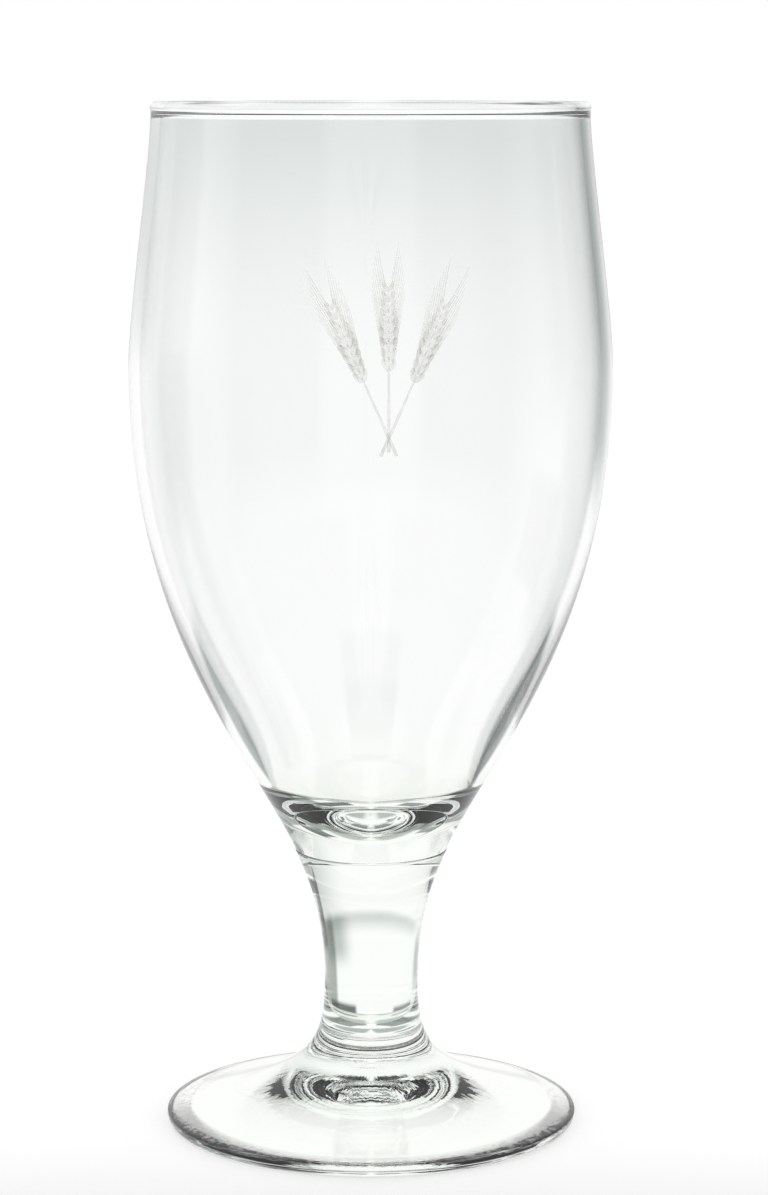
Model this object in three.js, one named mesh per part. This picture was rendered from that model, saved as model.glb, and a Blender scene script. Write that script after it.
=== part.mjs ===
// Stemmed beer glass: a machine-blown bowl fused onto a pressed stem and foot.
// Millimetres, +Z up. The foot stands on z = 0 and the axis of the glass is the Z axis.
// Both pieces are bodies of revolution, so each one is a half outline in (radius, height)
// that runs from the axis, round the glass wall and back to the axis.
import * as THREE from 'three';

// Whole glass
const GLASS_HEIGHT = 165;
const SEAM_HEIGHT = 45;          // where the bowl is fused to the stem
const SEAM_RADIUS = 12.3;
const SEAM_ROUNDING = 0.25;      // softened edge of both pieces, which leaves a fine groove between them

// Bowl, outside
const RIM_RADIUS = 34.7;
const BELLY_RADIUS = 38.6;
const BELLY_HEIGHT = 123.3;      // height of the widest part above the table
const SHOULDER_REACH = 42.2;     // how far the belly's roundness runs down before it turns to the seam
const BOSS_REACH = 17.5;         // how far the straight flank above the seam runs up
const BOSS_SLOPE = 0.48;         // radius gained per mm of height, just above the seam
const NECK_EASE_LOW = 8;         // how far the belly's roundness runs up
const NECK_EASE_HIGH = 7;        // how far the upright stretch under the lip runs down

// Bowl, lip and inside
const LIP_THICKNESS = 2.1;       // fire-polished bead round the mouth
const LIP_STEP = 0.1;            // the wall stands back this much from the bead, outside
const WALL_AT_LIP = 1.5;
const WALL_AT_BELLY = 1.7;
const FLOOR_HEIGHT = 48.8;       // lowest point of the inside
const FLOOR_RADIUS = 15.3;       // where the side wall turns into the rounded floor
const FLOOR_DISH = 9.7;          // height of that turn above the lowest point
const FLOOR_DROP = 4.5;          // how far the side wall's line runs on below the turn
const FLOOR_REACH = 5.7;         // how far the level middle of the floor runs out before it turns up
const INSIDE_REACH = 41.9;       // as SHOULDER_REACH, on the inner wall
const INSIDE_FLANK = 18.4;       // as BOSS_REACH, on the inner wall
const INSIDE_SLOPE = 0.43;       // radius gained per mm of height, just above the floor

// Stem
const WAIST_RADIUS = 7.6;
const WAIST_HEIGHT = 22.8;       // height of the stem's thinnest part above the table
const WAIST_EASE_UP = 11.4;
const WAIST_EASE_DOWN = 12.4;
const STEM_HEAD_EASE = 5;        // how far the stem's head runs straight down from the seam
const STEM_HEAD_SLOPE = 0.42;    // radius lost per mm of height, just under the seam

// Foot
const FOOT_RADIUS = 33.4;
const FOOT_EDGE_HEIGHT = 1.3;    // height of the foot's widest line
const FOOT_EDGE_ROUND = 3.3;     // how far in from the edge the top is rounded over
const FOOT_EDGE_TOP = 2.7;       // thickness of the foot where that rounding ends
const FOOT_EDGE_FULLNESS = 0.55; // how square that rounding is: 0 for a bevel, 1 for a corner
const FOOT_SLOPE = 0.32;         // rise of the foot's top per mm towards the stem
const FOOT_SPREAD = 18.2;        // how far in that slope runs before it turns up the stem
const CONTACT_OUTER_INSET = 1.7; // from the foot's widest line in to the flat ring that it stands on
const CONTACT_WIDTH = 2.5;       // width of that flat ring
const HOLLOW_RISE = 5.8;         // height of the hollow under the foot, at the axis
const HOLLOW_REACH = 6.9;        // how far the hollow's level top runs out before it turns down
const HOLLOW_FLANK_TOP = 8.9;    // radius where the flank's line, run up from the ring, meets that level

// Facets
const TURN_SEGMENTS = 64;

const point = (radius, height) => new THREE.Vector2(radius, height);
const line = (from, to) => new THREE.LineCurve(from, to);
const sweep = (from, leave, arrive, to) => new THREE.CubicBezierCurve(from, leave, arrive, to);
const arc = (centre, radiusX, radiusY, startAngle, endAngle) => new THREE.EllipseCurve(
  centre.x, centre.y, radiusX, radiusY, startAngle, endAngle, endAngle < startAngle);

// Joins stretches of outline, each a curve and its number of steps, and drops doubled points.
function outline(...stretches) {
  const points = [];
  for (const [curve, steps] of stretches) {
    for (const next of curve.getPoints(steps)) {
      const last = points.at(-1);
      if (!last || last.distanceTo(next) > 1e-6) points.push(next);
    }
  }
  return points;
}

function turned(name, points, material) {
  points[0].x = 0;
  points.at(-1).x = 0;
  const geometry = new THREE.LatheGeometry(points, TURN_SEGMENTS);
  geometry.rotateX(Math.PI / 2);
  const mesh = new THREE.Mesh(geometry, material);
  mesh.name = name;
  return mesh;
}

function clearGlass() {
  return new THREE.MeshStandardMaterial({
    color: 0xe6ece8, roughness: 0.04, metalness: 0, transparent: true, opacity: 0.4,
  });
}

// The rounded edge of a seam face. side is +1 above the seam and -1 below it, and slope is the
// radius that the wall gains per mm as it leaves the seam.
function seamEdge(side, slope) {
  const centre = point(SEAM_RADIUS - SEAM_ROUNDING, SEAM_HEIGHT + side * SEAM_ROUNDING);
  const faceAngle = -side * Math.PI / 2;
  const wallAngle = -side * Math.atan(slope);
  return arc(centre, SEAM_ROUNDING, SEAM_ROUNDING, faceAngle, wallAngle);
}

function bowlOutside() {
  const edge = seamEdge(1, BOSS_SLOPE);
  const boss = edge.getPoint(1);
  const belly = point(BELLY_RADIUS, BELLY_HEIGHT);
  const bead = lipBead();
  const lip = bead.getPoint(0);
  return [
    [line(point(0, SEAM_HEIGHT), edge.getPoint(0)), 1],
    [edge, 3],
    [sweep(boss, point(boss.x + BOSS_SLOPE * BOSS_REACH, boss.y + BOSS_REACH),
      point(belly.x, belly.y - SHOULDER_REACH), belly), 16],
    [sweep(belly, point(belly.x, belly.y + NECK_EASE_LOW),
      point(lip.x, lip.y - NECK_EASE_HIGH), lip), 7],
    [bead, 9],
  ];
}

// The bead stands LIP_STEP proud of the wall outside, and the rest of its extra thickness is inside.
function lipBead() {
  const radius = LIP_THICKNESS / 2;
  const centre = point(RIM_RADIUS - radius, GLASS_HEIGHT - radius);
  const outerWall = RIM_RADIUS - LIP_STEP;
  const innerWall = outerWall - WALL_AT_LIP;
  const outerAngle = -Math.acos((outerWall - centre.x) / radius);
  const innerAngle = 2 * Math.PI - Math.acos((innerWall - centre.x) / radius);
  return arc(centre, radius, radius, outerAngle, innerAngle);
}

function bowlInside() {
  const lip = lipBead().getPoint(1);
  const belly = point(BELLY_RADIUS - WALL_AT_BELLY, BELLY_HEIGHT);
  const turn = point(FLOOR_RADIUS, FLOOR_HEIGHT + FLOOR_DISH);
  return [
    [sweep(lip, point(lip.x, lip.y - NECK_EASE_HIGH), point(belly.x, belly.y + NECK_EASE_LOW), belly), 5],
    [sweep(belly, point(belly.x, belly.y - INSIDE_REACH),
      point(turn.x + INSIDE_SLOPE * INSIDE_FLANK, turn.y + INSIDE_FLANK), turn), 12],
    [sweep(turn, point(turn.x - INSIDE_SLOPE * FLOOR_DROP, turn.y - FLOOR_DROP),
      point(FLOOR_REACH, FLOOR_HEIGHT), point(0, FLOOR_HEIGHT)), 10],
  ];
}

function footUnderside() {
  const ringOuter = FOOT_RADIUS - CONTACT_OUTER_INSET;
  const ringInner = ringOuter - CONTACT_WIDTH;
  return [
    [sweep(point(0, HOLLOW_RISE), point(HOLLOW_REACH, HOLLOW_RISE),
      point(HOLLOW_FLANK_TOP, HOLLOW_RISE), point(ringInner, 0)), 9],
    [line(point(ringInner, 0), point(ringOuter, 0)), 1],
    [arc(point(ringOuter, FOOT_EDGE_HEIGHT), CONTACT_OUTER_INSET, FOOT_EDGE_HEIGHT, -Math.PI / 2, 0), 4],
  ];
}

function footAndStemOutside() {
  const edge = point(FOOT_RADIUS, FOOT_EDGE_HEIGHT);
  const top = point(FOOT_RADIUS - FOOT_EDGE_ROUND, FOOT_EDGE_TOP);
  const waist = point(WAIST_RADIUS, WAIST_HEIGHT);
  const head = seamEdge(-1, STEM_HEAD_SLOPE);
  const neck = head.getPoint(1);
  return [
    [sweep(edge, point(edge.x, edge.y + FOOT_EDGE_FULLNESS * (top.y - edge.y)),
      point(top.x + FOOT_EDGE_FULLNESS * FOOT_EDGE_ROUND,
        top.y - FOOT_EDGE_FULLNESS * FOOT_EDGE_ROUND * FOOT_SLOPE), top), 6],
    [sweep(top, point(top.x - FOOT_SPREAD, top.y + FOOT_SLOPE * FOOT_SPREAD),
      point(waist.x, waist.y - WAIST_EASE_DOWN), waist), 18],
    [sweep(waist, point(waist.x, waist.y + WAIST_EASE_UP),
      point(neck.x - STEM_HEAD_SLOPE * STEM_HEAD_EASE, neck.y - STEM_HEAD_EASE), neck), 10],
    [reversed(head), 3],
    [line(head.getPoint(0), point(0, SEAM_HEIGHT)), 1],
  ];
}

// The same arc, run from its far end to its start.
function reversed(curve) {
  return arc(point(curve.aX, curve.aY), curve.xRadius, curve.yRadius, curve.aEndAngle, curve.aStartAngle);
}

const glass = new THREE.Group();
glass.add(turned('bowl', outline(...bowlOutside(), ...bowlInside()), clearGlass()));
glass.add(turned('stem_foot', outline(...footUnderside(), ...footAndStemOutside()), clearGlass()));

export default glass;
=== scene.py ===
"""Stemmed beer glass in clear glass with a pale fired print, set in a white studio.

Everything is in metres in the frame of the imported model: the glass stands on z = 0, round Z.
"""
from math import acos, atan, cos, hypot, pi, radians, sin, tau

import bpy
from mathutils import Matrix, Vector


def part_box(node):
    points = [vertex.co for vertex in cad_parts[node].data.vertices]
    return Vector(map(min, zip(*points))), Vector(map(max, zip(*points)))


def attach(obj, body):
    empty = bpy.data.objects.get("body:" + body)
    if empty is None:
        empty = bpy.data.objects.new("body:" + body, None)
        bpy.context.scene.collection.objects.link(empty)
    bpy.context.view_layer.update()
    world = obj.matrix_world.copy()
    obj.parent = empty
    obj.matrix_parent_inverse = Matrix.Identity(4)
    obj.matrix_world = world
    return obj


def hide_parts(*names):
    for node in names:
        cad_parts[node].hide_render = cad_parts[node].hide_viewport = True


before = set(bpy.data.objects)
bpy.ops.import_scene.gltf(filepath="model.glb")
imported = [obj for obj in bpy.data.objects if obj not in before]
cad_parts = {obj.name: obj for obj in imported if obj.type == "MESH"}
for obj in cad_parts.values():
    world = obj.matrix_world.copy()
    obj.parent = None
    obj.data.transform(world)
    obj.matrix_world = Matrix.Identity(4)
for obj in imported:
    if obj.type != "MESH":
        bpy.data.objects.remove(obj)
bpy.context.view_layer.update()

MM = 0.001
DEGREES = 180 / pi
WHITE = (1, 1, 1, 1)

# The whole glass, from the model's box. The belly keeps PRINT_THICKNESS inside the box, which
# leaves room for the enamel.
PRINT_THICKNESS = 0.06 * MM
GLASS_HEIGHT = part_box("bowl")[1][2]
SEAM_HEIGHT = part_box("bowl")[0][2]
BELLY_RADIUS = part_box("bowl")[1][0] - PRINT_THICKNESS
FOOT_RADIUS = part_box("stem_foot")[1][0]

SEAM_RADIUS = 12.3 * MM
SEAM_ROUNDING = 0.25 * MM

# Bowl, outside
RIM_RADIUS = 34.7 * MM
BELLY_HEIGHT = 123.3 * MM
SHOULDER_REACH = 42.2 * MM
BOSS_REACH = 17.5 * MM
BOSS_SLOPE = 0.48
NECK_EASE_LOW = 8 * MM
NECK_EASE_HIGH = 7 * MM

# Bowl, lip and inside
LIP_THICKNESS = 2.1 * MM
LIP_STEP = 0.1 * MM
WALL_AT_LIP = 1.5 * MM
WALL_AT_BELLY = 1.8 * MM
FLOOR_HEIGHT = 48.9 * MM
FLOOR_RADIUS = 16.4 * MM
FLOOR_DISH = 8.6 * MM
FLOOR_DROP = 2.7 * MM
FLOOR_REACH = 4.9 * MM
INSIDE_REACH = 37.5 * MM
INSIDE_FLANK = 14 * MM
INSIDE_SLOPE = 0.48

# Stem
WAIST_RADIUS = 7.6 * MM
WAIST_HEIGHT = 22.8 * MM
WAIST_EASE_UP = 11.4 * MM
WAIST_EASE_DOWN = 12.4 * MM
STEM_HEAD_EASE = 5 * MM
STEM_HEAD_SLOPE = 0.42

# Foot
FOOT_EDGE_HEIGHT = 1.5 * MM
FOOT_EDGE_ROUND = 3.6 * MM
FOOT_EDGE_TOP = 2.8 * MM
FOOT_EDGE_FULLNESS = 0.7
FOOT_SLOPE = 0.32
FOOT_SPREAD = 18.2 * MM
CONTACT_OUTER_INSET = 1.3 * MM
CONTACT_WIDTH = 2.9 * MM
HOLLOW_RISE = 5.8 * MM
HOLLOW_REACH = 6.9 * MM
HOLLOW_FLANK_TOP = 8.9 * MM

# Turning
TURN_STEPS = 256                  # facets round the axis of the glass
WELD_DISTANCE = 0.0001 * MM       # points this near to each other are one point
SEAM_TOLERANCE = 0.001 * MM       # a face this near to the seam's height lies in the seam

# Glass. The solid glass under the bowl shows more of its green.
GLASS_IOR = 1.52
GLASS_TINT = (0.993, 1.0, 0.996, 1)
THICK_GLASS_TINT = (0.98, 1.0, 0.965, 1)
THICK_GLASS_BETWEEN = (52 * MM, 64 * MM)  # where the one tint passes into the other
WAVE_DEPTH = 0.004 * MM           # slow waves that the mould leaves in the walls
WAVE_SCALE = 2.5
STREAK_DEPTH = 0.02 * MM          # fine streaks that run out from the middle of the foot's hollow
STREAK_SCALE = 14.0
STREAKS_END_BETWEEN = (0.15, 0.45)  # of the foot's area, from the middle out
STREAKS_END_ABOVE = 0.5 * MM      # they fade this far above the hollow
HAZE_HEIGHT = 0.25 * MM           # how far up from the table the foot is rubbed dull
HAZE_LEAST = 0.05
HAZE_VARIES = 0.2
HAZE_SCALE = 900.0
HAZE_PATCHES_BETWEEN = (0.4, 0.62)  # of the noise that breaks it up

# Print: three ears of barley, about as wide and high together as the photographed print
PRINT_FOOT_HEIGHT = 113.5 * MM
PRINT_TURN = radians(4)           # to the right of the glass's front
EARS = 3
EAR_FAN = radians(24)             # between two ears
EAR_SPACING = 1.2 * MM            # between the feet of two ears
EAR_DROP = 0.6 * MM               # the outer ears' feet are this much lower
GRAINS = 18
GRAIN_LENGTH = 3 * MM
GRAIN_LEAN = radians(24)
EAR_LENGTH = 11.5 * MM
STALK_LENGTH = 13 * MM
AWN_LENGTH = 9 * MM
EAR_FULLEST = 0.4                 # how far up the ear its grains are widest
EAR_TAPER = 0.35                  # how much slimmer they get away from there
ROW_OFFSET = 0.26                 # widths from here on are parts of a grain's length
GRAIN_WIDTH = 0.2
AWN_WIDTH = 0.045
STALK_WIDTH = 0.09
ROD_DEPTH = 0.8                   # of a grain's depth, for awns and stalks
AWN_LEAN = 0.45                   # of the grain's lean
AWN_STRETCH_LOW = 1.15            # of the awn's length, at the foot of the ear
AWN_SHORTENS = 0.4                # and this much less at its tip
ENAMEL_DEPTH = PRINT_THICKNESS * 0.4   # half of a grain's depth
ENAMEL_GAP = PRINT_THICKNESS * 0.05    # between the glass and the enamel
ENAMEL_LIGHT = (0.93, 0.91, 0.84, 1)
ENAMEL_DARK = (0.86, 0.83, 0.74, 1)
MOTTLE_SCALE = 700.0
MOTTLE_BETWEEN = (0.3, 0.7)       # of its noise
ENAMEL_COVER_LEAST = 0.1
ENAMEL_COVER_VARIES = 0.12

# Studio: light levels, where 1 is white, and the tint of what the glass shows dark
ROOM_LIGHT = 0.9
SHADE_TINT = (0.84, 1.0, 0.93, 1)
STRIP_SHADE = 0.29                # how much the paper dims at eye level,
RIGHT_SHADE = 0.28                # to the right of the glass,
LOW_RIGHT_SHADE = 0.4             # and to the right in a patch just under eye level

# Boards that stand dark round the table. Directions are in degrees. Azimuth 0 is behind the
# glass and + is to its right. Each row gives how dark the board is, its azimuths and how softly
# they end, and its elevations and how softly they end.
BOARDS_ON_ONE_SIDE = (
    (0.6, (40, 68), 6, (-30, 0), 6),
    (0.85, (16, 50), 4, (-40, -25), 4),
    (0.7, (-50, -24), 4, (-40, -27), 4),
    (0.88, (54, 65), 4, (-4, 26), 4),
    (0.9, (70, 90), 3, (-28, -16), 3),
    (0.55, (-115, -62), 12, (-11, -7), 12),
)
BOARDS_ON_BOTH_SIDES = (
    (0.96, (7, 38), 6, (47, 65), 6),
    (0.82, (15, 135), 9, (59, 63), 9),
    (0.87, (154, 180), 4, (44, 69), 3),
    (0.28, (90, 180), 14, (-43, 12), 6),
    (0.5, (105, 150), 10, (-24, 6), 8),
    (0.65, (103, 165), 5, (-66, -27), 5),
    (0.5, (12, 80), 10, (-90, -56), 10),
)

# Paper that the glass stands on. Its colour is painted darker in front of the glass, towards the
# camera: painted shade where the light on the paper falls off.
PAPER_HALF_SIZE = 3.0
PAPER_COLOUR = (0.6, 0.6, 0.6, 1)
NEAR_PAPER_PAINTED_SHADE = (0.45, 0.45, 0.45, 1)
PAPER_DIMS_BETWEEN = (-60 * MM, -5 * MM)
PAPER_GLOW = 0.52

# Camera, fitted to the ellipses of the lip and the foot
CAMERA_DISTANCE = 549 * MM
CAMERA_HEIGHT = 167.3 * MM
CAMERA_PITCH_DOWN = radians(8.42)
CAMERA_YAW_RIGHT = radians(0.22)
CAMERA_LENS = 104.0
CAMERA_FILM = 36                  # along the photograph's long side

GLASS_BOUNCES = 6                 # reflections followed, so that the foot's edge is not black


# Outlines. A curve is a list of (radius, height).

def sweep(start, leave, arrive, end, steps):
    """A cubic curve from start to end, pulled towards leave and arrive."""
    points = []
    for i in range(steps + 1):
        t = i / steps
        s = 1 - t
        weights = (s ** 3, 3 * t * s * s, 3 * t * t * s, t ** 3)
        points.append(tuple(sum(weight * point[k] for weight, point in
                                zip(weights, (start, leave, arrive, end))) for k in (0, 1)))
    return points


def arc(centre, radius_x, radius_y, start_angle, end_angle, steps):
    angles = [start_angle + (end_angle - start_angle) * i / steps for i in range(steps + 1)]
    return [(centre[0] + radius_x * cos(angle), centre[1] + radius_y * sin(angle))
            for angle in angles]


def joined(*stretches):
    """One curve out of several, without the doubled points where they meet."""
    points = []
    for point in (point for stretch in stretches for point in stretch):
        if not points or hypot(point[0] - points[-1][0], point[1] - points[-1][1]) > WELD_DISTANCE:
            points.append(point)
    return points


def seam_edge(side, slope):
    """The softened edge of a seam face: side is +1 above the seam and -1 below it."""
    centre = (SEAM_RADIUS - SEAM_ROUNDING, SEAM_HEIGHT + side * SEAM_ROUNDING)
    return arc(centre, SEAM_ROUNDING, SEAM_ROUNDING,
               -side * pi / 2, -side * atan(slope), steps=6)


def lip_bead():
    radius = LIP_THICKNESS / 2
    centre = (RIM_RADIUS - radius, GLASS_HEIGHT - radius)
    outer_wall = RIM_RADIUS - LIP_STEP
    inner_wall = outer_wall - WALL_AT_LIP
    return arc(centre, radius, radius, -acos((outer_wall - centre[0]) / radius),
               tau - acos((inner_wall - centre[0]) / radius), steps=28)


def bowl_outside():
    edge = seam_edge(1, BOSS_SLOPE)
    boss, belly, lip = edge[-1], (BELLY_RADIUS, BELLY_HEIGHT), lip_bead()[0]
    return joined(
        [(0, SEAM_HEIGHT)], edge,
        sweep(boss, (boss[0] + BOSS_SLOPE * BOSS_REACH, boss[1] + BOSS_REACH),
              (belly[0], belly[1] - SHOULDER_REACH), belly, steps=90),
        sweep(belly, (belly[0], belly[1] + NECK_EASE_LOW),
              (lip[0], lip[1] - NECK_EASE_HIGH), lip, steps=40))


def bowl_inside():
    lip, belly = lip_bead()[-1], (BELLY_RADIUS - WALL_AT_BELLY, BELLY_HEIGHT)
    turn = (FLOOR_RADIUS, FLOOR_HEIGHT + FLOOR_DISH)
    return joined(
        sweep(lip, (lip[0], lip[1] - NECK_EASE_HIGH),
              (belly[0], belly[1] + NECK_EASE_LOW), belly, steps=30),
        sweep(belly, (belly[0], belly[1] - INSIDE_REACH),
              (turn[0] + INSIDE_SLOPE * INSIDE_FLANK, turn[1] + INSIDE_FLANK), turn, steps=70),
        sweep(turn, (turn[0] - INSIDE_SLOPE * FLOOR_DROP, turn[1] - FLOOR_DROP),
              (FLOOR_REACH, FLOOR_HEIGHT), (0, FLOOR_HEIGHT), steps=40))


def foot_underside():
    ring_outer = FOOT_RADIUS - CONTACT_OUTER_INSET
    ring_inner = ring_outer - CONTACT_WIDTH
    return joined(
        sweep((0, HOLLOW_RISE), (HOLLOW_REACH, HOLLOW_RISE),
              (HOLLOW_FLANK_TOP, HOLLOW_RISE), (ring_inner, 0), steps=40),
        arc((ring_outer, FOOT_EDGE_HEIGHT), CONTACT_OUTER_INSET, FOOT_EDGE_HEIGHT,
            -pi / 2, 0, steps=12))


def foot_and_stem():
    edge = (FOOT_RADIUS, FOOT_EDGE_HEIGHT)
    top = (FOOT_RADIUS - FOOT_EDGE_ROUND, FOOT_EDGE_TOP)
    waist = (WAIST_RADIUS, WAIST_HEIGHT)
    head = seam_edge(-1, STEM_HEAD_SLOPE)
    neck = head[-1]
    return joined(
        sweep(edge, (edge[0], edge[1] + FOOT_EDGE_FULLNESS * (top[1] - edge[1])),
              (top[0] + FOOT_EDGE_FULLNESS * FOOT_EDGE_ROUND,
               top[1] - FOOT_EDGE_FULLNESS * FOOT_EDGE_ROUND * FOOT_SLOPE), top, steps=16),
        sweep(top, (top[0] - FOOT_SPREAD, top[1] + FOOT_SLOPE * FOOT_SPREAD),
              (waist[0], waist[1] - WAIST_EASE_DOWN), waist, steps=60),
        sweep(waist, (waist[0], waist[1] + WAIST_EASE_UP),
              (neck[0] - STEM_HEAD_SLOPE * STEM_HEAD_EASE, neck[1] - STEM_HEAD_EASE),
              neck, steps=40),
        head[::-1], [(0, SEAM_HEIGHT)])


# Node trees, for shaders and for shapes.

class Value:
    """A node's output with number arithmetic: each operator adds its Math node."""

    def __init__(self, graph, socket):
        self.graph, self.socket = graph, socket

    def _maths(self, operation, *operands):
        return self.graph.node("ShaderNodeMath", {"operation": operation}, *operands)

    def __add__(self, other): return self._maths("ADD", self, other)
    def __radd__(self, other): return self._maths("ADD", other, self)
    def __sub__(self, other): return self._maths("SUBTRACT", self, other)
    def __rsub__(self, other): return self._maths("SUBTRACT", other, self)
    def __mul__(self, other): return self._maths("MULTIPLY", self, other)
    def __rmul__(self, other): return self._maths("MULTIPLY", other, self)
    def __truediv__(self, other): return self._maths("DIVIDE", self, other)
    def __mod__(self, other): return self._maths("MODULO", self, other)
    def abs(self): return self._maths("ABSOLUTE", self)
    def floor(self): return self._maths("FLOOR", self)
    def sine(self): return self._maths("SINE", self)
    def cosine(self): return self._maths("COSINE", self)
    def arcsine(self): return self._maths("ARCSINE", self)
    def angle_from(self, other): return self._maths("ARCTAN2", self, other)
    def below(self, other): return self._maths("LESS_THAN", self, other)

    def ramp(self, start, end):
        """Eases from 0 to 1 as the value goes from start to end."""
        return self.graph.node("ShaderNodeMapRange", {"interpolation_type": "SMOOTHSTEP"},
                               self, start, end)

    def also(self, name):
        """Another output of the same node."""
        return Value(self.graph, self.socket.node.outputs[name])


class Graph:
    """A node tree with one method for adding nodes."""

    def __init__(self, tree):
        self.tree = tree
        tree.nodes.clear()

    def node(self, kind, settings=None, *inputs, output=0, **named):
        """Adds a node. Inputs go by place or by name. A list links several to one input."""
        node = self.tree.nodes.new(kind)
        for key, setting in (settings or {}).items():
            setattr(node, key, setting)
        by_name = ((key.replace("_", " "), given) for key, given in named.items())
        for key, given in [*enumerate(inputs), *by_name]:
            for each in given if isinstance(given, list) else [given]:
                if isinstance(each, Value):
                    self.tree.links.new(each.socket, node.inputs[key])
                elif each is not None:
                    node.inputs[key].default_value = each
        return Value(self, node.outputs[output]) if node.outputs else None

    def split(self, vector):
        parts = self.node("ShaderNodeSeparateXYZ", {}, vector)
        return parts, parts.also("Y"), parts.also("Z")

    def vector(self, x, y, z):
        return self.node("ShaderNodeCombineXYZ", {}, x, y, z)

    def mixed(self, factor, first, second):
        """The first colour where factor is 0, and the second where it is 1."""
        unused = [None] * 5
        return self.node("ShaderNodeMix", {"data_type": "RGBA"},
                         factor, *unused, first, second, output=2)


def material(name):
    made = bpy.data.materials.new(name)
    made.use_nodes = True
    return made, Graph(made.node_tree)


class Shaper(Graph):
    """A Geometry Nodes tree with named inputs for its sizes."""

    def __init__(self, name, sizes):
        tree = bpy.data.node_groups.new(name, "GeometryNodeTree")
        super().__init__(tree)
        sockets = tree.interface
        sockets.new_socket("Geometry", in_out="INPUT", socket_type="NodeSocketGeometry")
        for label, size in sizes.items():
            kind = "NodeSocketInt" if isinstance(size, int) else "NodeSocketFloat"
            sockets.new_socket(label, in_out="INPUT", socket_type=kind)
        sockets.new_socket("Geometry", in_out="OUTPUT", socket_type="NodeSocketGeometry")
        self.sizes = sizes
        self.given = self.node("NodeGroupInput")

    def size(self, label):
        return self.given.also(label)

    def finish(self, geometry, *coats):
        """Ends the tree: plain faces, then each coat's material on the faces that it selects."""
        geometry = self.node("GeometryNodeRealizeInstances", {}, geometry)
        for coat, selection in coats:
            geometry = self.node("GeometryNodeSetMaterial", {}, geometry, selection, coat)
        self.node("NodeGroupOutput", {}, geometry)

    def shape(self, name, mesh):
        """Runs the tree on a mesh, and keeps its result as a plain piece."""
        piece = bpy.data.objects.new(name, mesh)
        bpy.context.collection.objects.link(piece)
        modifier = piece.modifiers.new(name, "NODES")
        modifier.node_group = self.tree
        for item in self.tree.interface.items_tree:
            if item.in_out == "INPUT" and item.name in self.sizes:
                modifier[item.identifier] = self.sizes[item.name]
        depsgraph = bpy.context.evaluated_depsgraph_get()
        shaped = bpy.data.meshes.new_from_object(piece.evaluated_get(depsgraph),
                                                 depsgraph=depsgraph)
        piece.modifiers.clear()
        piece.data = shaped
        shaped.name = name
        return piece


# Glass bodies.

def glass_turner():
    """Turns an outline round Z. Its points on the axis weld into poles.

    Gives the tree, the turned body and the selection of the face at the seam.
    """
    tree = Shaper("glass_turner", {"Steps Round": TURN_STEPS, "Weld Distance": WELD_DISTANCE,
                                   "Seam Height": SEAM_HEIGHT})
    steps = tree.size("Steps Round")
    points = tree.node("GeometryNodeAttributeDomainSize", {}, tree.given)
    grid = tree.node("GeometryNodeMeshGrid", {}, Vertices_X=points, Vertices_Y=steps + 1)
    index = tree.node("GeometryNodeInputIndex")
    half_a_step = 0.5 / (TURN_STEPS + 1)   # keeps rounding from dropping a row
    row = (index / (steps + 1) + half_a_step).floor()
    position = tree.node("GeometryNodeInputPosition")
    sample = tree.node("GeometryNodeSampleIndex", {"data_type": "FLOAT_VECTOR"},
                       tree.given, position, row)
    radius, _, height = tree.split(sample)
    angle = (index - row * (steps + 1)) / steps * -tau
    placed = tree.node(
        "GeometryNodeSetPosition", {}, grid,
        Position=tree.vector(radius * angle.cosine(), radius * angle.sine(), height))
    welded = tree.node("GeometryNodeMergeByDistance", {}, placed,
                       Distance=tree.size("Weld Distance"))
    smooth = tree.node("GeometryNodeSetShadeSmooth", {}, welded)
    face_height = tree.split(position)[2]
    at_seam = (face_height - tree.size("Seam Height")).abs().below(SEAM_TOLERANCE)
    return tree, smooth, at_seam


def clear_glass():
    """Soda-lime glass: waves from the mould, streaks under the foot, a haze where it stands."""
    glass, graph = material("clear_glass")
    place = graph.node("ShaderNodeTexCoord", output="Object")
    x, y, z = graph.split(place)
    around = y.angle_from(x)
    out = (x * x + y * y) / FOOT_RADIUS ** 2
    waves = graph.node(
        "ShaderNodeTexNoise", {}, graph.vector(around.cosine(), around.sine(), z / BELLY_RADIUS),
        Scale=WAVE_SCALE, Detail=1.0)
    streaks = graph.node(
        "ShaderNodeTexNoise", {}, graph.vector(around.cosine(), around.sine(), out),
        Scale=STREAK_SCALE, Detail=1.0)
    in_hollow = 1 - z.ramp(HOLLOW_RISE, HOLLOW_RISE + STREAKS_END_ABOVE)
    near_middle = 1 - out.ramp(*STREAKS_END_BETWEEN)
    relief = waves * WAVE_DEPTH + streaks * (in_hollow * near_middle) * STREAK_DEPTH
    surface = graph.node("ShaderNodeBump", {}, Strength=1.0, Distance=1.0, Height=relief)
    rubbed = graph.node("ShaderNodeTexNoise", {}, place, Scale=HAZE_SCALE, Detail=3.0)
    patches = rubbed.ramp(*HAZE_PATCHES_BETWEEN)
    haze = (1 - z.ramp(0, HAZE_HEIGHT)) * (HAZE_LEAST + HAZE_VARIES * patches)
    tint = graph.mixed(z.ramp(*THICK_GLASS_BETWEEN), THICK_GLASS_TINT, GLASS_TINT)
    shader = graph.node("ShaderNodeBsdfPrincipled", {}, Base_Color=tint, Roughness=haze,
                        IOR=GLASS_IOR, Transmission_Weight=1.0, Normal=surface)
    graph.node("ShaderNodeOutputMaterial", {}, Surface=shader)
    return glass


def fused_joint():
    """The face where the bowl and the stem are one glass: light goes straight through it."""
    joint, graph = material("fused_joint")
    graph.node("ShaderNodeOutputMaterial", {}, Surface=graph.node("ShaderNodeBsdfTransparent"))
    return joint


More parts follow.
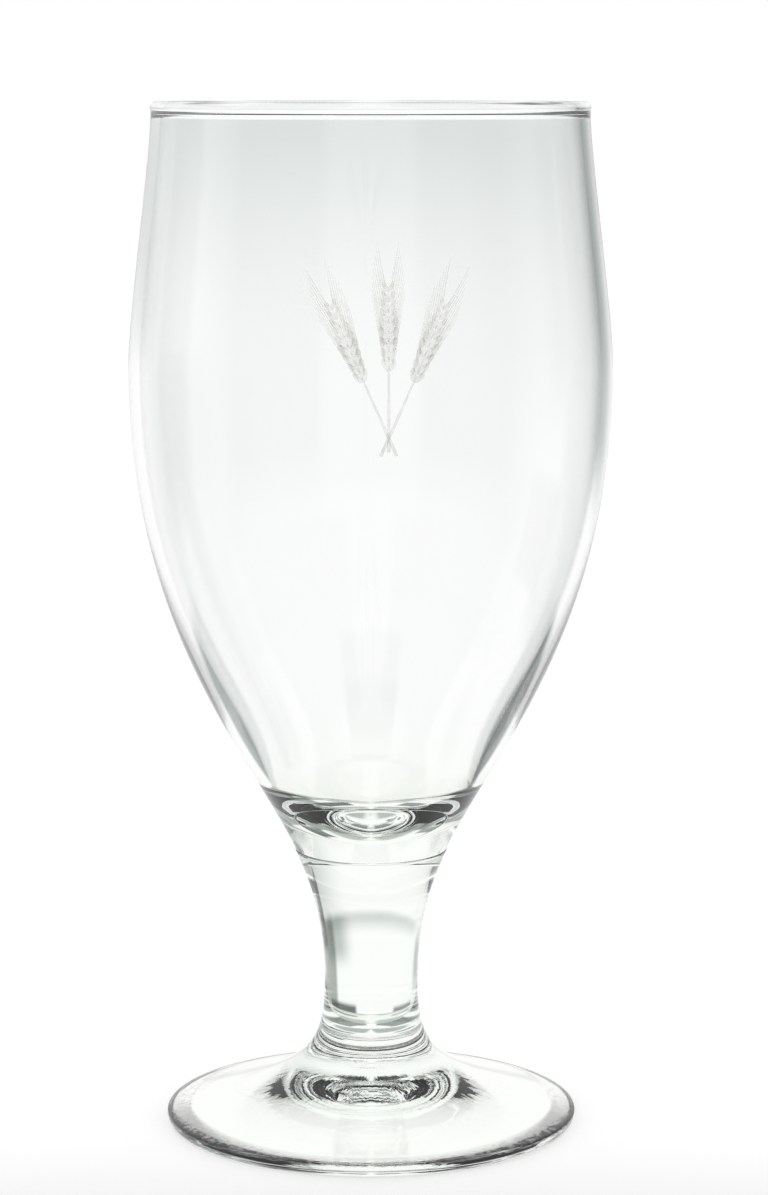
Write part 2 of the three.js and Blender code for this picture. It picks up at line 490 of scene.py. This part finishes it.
def glass_body(name, node, outline, glass, joint):
    mesh = bpy.data.meshes.new(name)
    mesh.from_pydata([(radius, 0, height) for radius, height in outline],
                     [(i, i + 1) for i in range(len(outline) - 1)], [])
    tree, turned, at_seam = glass_turner()
    tree.finish(turned, (glass, None), (joint, at_seam))
    piece = tree.shape(name, mesh)
    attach(piece, "root")
    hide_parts(node)
    return piece


# The printed sheaf: ears of barley, drawn flat and laid on the front of the bowl.

def barley_ear(tree):
    """One upright ear: two rows of grains with awns, on a thin stalk. Its foot is at the origin."""
    count, grain, thick = tree.size("Grains"), tree.size("Grain Length"), tree.size("Thickness")
    length, stalk_length = tree.size("Ear Length"), tree.size("Stalk Length")
    index = tree.node("GeometryNodeInputIndex")
    side = (index % 2) * 2 - 1
    along = (index / 2).floor() / (count / 2 - 1)
    slim = 1 - EAR_TAPER * (2 * along - 2 * EAR_FULLEST).abs()
    lean = side * tree.size("Grain Lean") * -1
    seats = tree.node(
        "GeometryNodeSetPosition", {}, tree.node("GeometryNodeMeshLine", {}, Count=count),
        Position=tree.vector(side * grain * ROW_OFFSET * slim, stalk_length + along * length, 0.0))
    ball = tree.node("GeometryNodeMeshUVSphere", {}, Segments=8, Rings=6, Radius=1.0)
    kernel = tree.node("GeometryNodeTransform", {}, ball,
                       Scale=tree.vector(grain * GRAIN_WIDTH, grain * 0.5, thick))
    kernels = tree.node("GeometryNodeInstanceOnPoints", {}, seats, Instance=kernel,
                        Rotation=tree.vector(0.0, 0.0, lean), Scale=tree.vector(slim, slim, 1.0))
    rod = tree.node("GeometryNodeMeshCone", {}, Vertices=6, Side_Segments=8, Fill_Segments=1,
                    Radius_Top=0.2, Radius_Bottom=1.0, Depth=1.0)
    rod = tree.node("GeometryNodeTransform", {}, rod, Rotation=(-pi / 2, 0, 0))
    awn = tree.node(
        "GeometryNodeTransform", {}, rod,
        Scale=tree.vector(grain * AWN_WIDTH, tree.size("Awn Length"), thick * ROD_DEPTH))
    awns = tree.node(
        "GeometryNodeInstanceOnPoints", {}, seats, Instance=awn,
        Rotation=tree.vector(0.0, 0.0, lean * AWN_LEAN),
        Scale=tree.vector(1.0, AWN_STRETCH_LOW - along * AWN_SHORTENS, 1.0))
    stalk = tree.node(
        "GeometryNodeTransform", {}, rod,
        Scale=tree.vector(grain * STALK_WIDTH, stalk_length + length, thick * ROD_DEPTH))
    return tree.node("GeometryNodeRealizeInstances", {},
                     tree.node("GeometryNodeJoinGeometry", {}, [stalk, awns, kernels]))


def printed_sheaf(bowl, enamel):
    tree = Shaper("printed_sheaf", {
        "Grains": GRAINS, "Ear Length": EAR_LENGTH, "Stalk Length": STALK_LENGTH,
        "Awn Length": AWN_LENGTH, "Grain Length": GRAIN_LENGTH, "Grain Lean": GRAIN_LEAN,
        "Thickness": ENAMEL_DEPTH, "Fan": EAR_FAN, "Foot Height": PRINT_FOOT_HEIGHT,
        "Turn": PRINT_TURN, "Gap": ENAMEL_GAP})
    place = tree.node("GeometryNodeInputIndex") - 1
    roots = tree.node("GeometryNodeSetPosition", {},
                      tree.node("GeometryNodeMeshLine", {}, Count=EARS),
                      Position=tree.vector(place * -EAR_SPACING, place.abs() * -EAR_DROP, 0.0))
    ears = tree.node("GeometryNodeInstanceOnPoints", {}, roots, Instance=barley_ear(tree),
                     Rotation=tree.vector(0.0, 0.0, place * tree.size("Fan") * -1))
    flat = tree.node("GeometryNodeRealizeInstances", {}, ears)

    # Each point of the drawing is laid where a ray from outside meets the wall.
    across, up, proud = tree.split(tree.node("GeometryNodeInputPosition"))
    proud = proud + tree.size("Thickness") + tree.size("Gap")
    angle = across / BELLY_RADIUS + tree.size("Turn")
    start = tree.vector(angle.sine() * 2 * BELLY_RADIUS, angle.cosine() * -2 * BELLY_RADIUS,
                        up + tree.size("Foot Height"))
    wall = tree.node("GeometryNodeRaycast", {}, tree.given, Source_Position=start,
                     Ray_Direction=tree.vector(angle.sine() * -1, angle.cosine(), 0.0),
                     output="Hit Position")
    lift = tree.node("ShaderNodeVectorMath", {"operation": "SCALE"},
                     wall.also("Hit Normal"), Scale=proud)
    laid = tree.node("GeometryNodeSetPosition", {}, flat,
                     Position=tree.node("ShaderNodeVectorMath", {"operation": "ADD"}, wall, lift))
    tree.finish(tree.node("GeometryNodeSetShadeSmooth", {}, laid), (enamel, None))
    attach(tree.shape("printed_sheaf", bowl.data.copy()), "root")


def fired_enamel():
    """Pale cream print fired onto the glass, thin and uneven enough to let light through."""
    enamel, graph = material("fired_enamel")
    place = graph.node("ShaderNodeTexCoord", output="Object")
    noise = graph.node("ShaderNodeTexNoise", {}, place, Scale=MOTTLE_SCALE, Detail=3.0)
    mottle = noise.ramp(*MOTTLE_BETWEEN)
    paint = graph.node("ShaderNodeBsdfPrincipled", {}, Roughness=0.3,
                       Base_Color=graph.mixed(mottle, ENAMEL_DARK, ENAMEL_LIGHT))
    cover = ENAMEL_COVER_LEAST + ENAMEL_COVER_VARIES * mottle
    graph.node("ShaderNodeOutputMaterial", {}, Surface=graph.node(
        "ShaderNodeMixShader", {}, cover, graph.node("ShaderNodeBsdfTransparent"), paint))
    return enamel


# The studio, by direction.

def band(angle, start, end, ease):
    """1 between two angles, easing to 0 outside them."""
    return angle.ramp(start - ease, start) * (1 - angle.ramp(end, end + ease))


def white_sweep(azimuth, elevation):
    """The white paper behind the glass, dimmer at eye level and to the right. In degrees."""
    behind = 1 - azimuth.abs().ramp(40, 60)
    strip = elevation.ramp(-5, 1) * behind * (1 - elevation.ramp(0.5, 4))
    right = azimuth.ramp(14, 50) * elevation.ramp(-13, 0) * (1 - azimuth.ramp(80, 90))
    low_right = band(azimuth, 30, 44, 18) * band(elevation, -7, 0, 6)
    return (1 - STRIP_SHADE * strip) * (1 - RIGHT_SHADE * right) * (1 - LOW_RIGHT_SHADE * low_right)


def lit_past_boards(azimuth, elevation):
    """The dark boards give clear glass its edges. This is the light that passes them."""
    lit = 1
    for angle, boards in ((azimuth, BOARDS_ON_ONE_SIDE), (azimuth.abs(), BOARDS_ON_BOTH_SIDES)):
        for depth, sides, sides_ease, heights, heights_ease in boards:
            across = band(angle, *sides, sides_ease)
            lit = lit * (1 - depth * across * band(elevation, *heights, heights_ease))
    return lit


def studio_world():
    """White to the camera. The glass bends the white sweep and the boards round it into view."""
    world = bpy.data.worlds.new("studio")
    bpy.context.scene.world = world
    world.use_nodes = True
    graph = Graph(world.node_tree)
    x, y, z = graph.split(graph.node("ShaderNodeTexCoord", output="Generated"))
    azimuth = x.angle_from(y) * DEGREES
    elevation = z.arcsine() * DEGREES
    paper = white_sweep(azimuth, elevation)
    through_glass = paper * lit_past_boards(azimuth, elevation)
    path = graph.node("ShaderNodeLightPath", output="Is Camera Ray")
    bent, mirrored = path.also("Is Transmission Ray"), path.also("Is Glossy Ray")
    unbent = path + (1 - path) * (mirrored * paper + (1 - mirrored) * ROOM_LIGHT)
    strength = bent * through_glass + (1 - bent) * unbent
    shade = graph.mixed(bent * (1 - through_glass), WHITE, SHADE_TINT)
    background = graph.node("ShaderNodeBackground", {}, shade, strength)
    graph.node("ShaderNodeOutputWorld", {}, Surface=background)


def studio_floor():
    """The paper under the glass. The camera sees it a little brighter than it is lit."""
    size = PAPER_HALF_SIZE
    mesh = bpy.data.meshes.new("studio_floor")
    corners = [(-size, -size, 0), (size, -size, 0), (size, size, 0), (-size, size, 0)]
    mesh.from_pydata(corners, [], [(0, 1, 2, 3)])
    floor = bpy.data.objects.new("studio_floor", mesh)
    bpy.context.collection.objects.link(floor)
    paper, graph = material("white_paper")
    _, y, _ = graph.split(graph.node("ShaderNodeTexCoord", output="Object"))
    # painted shade: the paper's colour is darker towards the camera, in front of the glass
    painted_falloff = 1 - y.ramp(*PAPER_DIMS_BETWEEN)
    colour = graph.mixed(painted_falloff, PAPER_COLOUR, NEAR_PAPER_PAINTED_SHADE)
    seen = graph.node("ShaderNodeLightPath", output="Is Camera Ray")
    lift = graph.node("ShaderNodeEmission", {}, WHITE, seen * PAPER_GLOW)
    graph.node("ShaderNodeOutputMaterial", {}, Surface=graph.node(
        "ShaderNodeAddShader", {}, graph.node("ShaderNodeBsdfDiffuse", {}, colour), lift))
    mesh.materials.append(paper)
    floor.visible_transmission = False
    floor.visible_glossy = False


def camera():
    data = bpy.data.cameras.new("camera")
    data.lens = CAMERA_LENS
    data.sensor_width = CAMERA_FILM
    viewer = bpy.data.objects.new("camera", data)
    viewer.location = (0, -CAMERA_DISTANCE, CAMERA_HEIGHT)
    viewer.rotation_euler = (pi / 2 - CAMERA_PITCH_DOWN, 0, -CAMERA_YAW_RIGHT)
    bpy.context.collection.objects.link(viewer)
    bpy.context.scene.camera = viewer


camera()
glass, joint = clear_glass(), fused_joint()
bowl_outline = joined(bowl_outside(), lip_bead(), bowl_inside())
bowl = glass_body("blown_bowl", "bowl", bowl_outline, glass, joint)
foot_outline = joined(foot_underside(), foot_and_stem())
glass_body("pressed_stem_foot", "stem_foot", foot_outline, glass, joint)
printed_sheaf(bowl, fired_enamel())
studio_world()
studio_floor()
bpy.context.scene.view_settings.view_transform = "Standard"
bpy.context.scene.cycles.max_bounces = GLASS_BOUNCES
bpy.context.scene.cycles.glossy_bounces = GLASS_BOUNCES
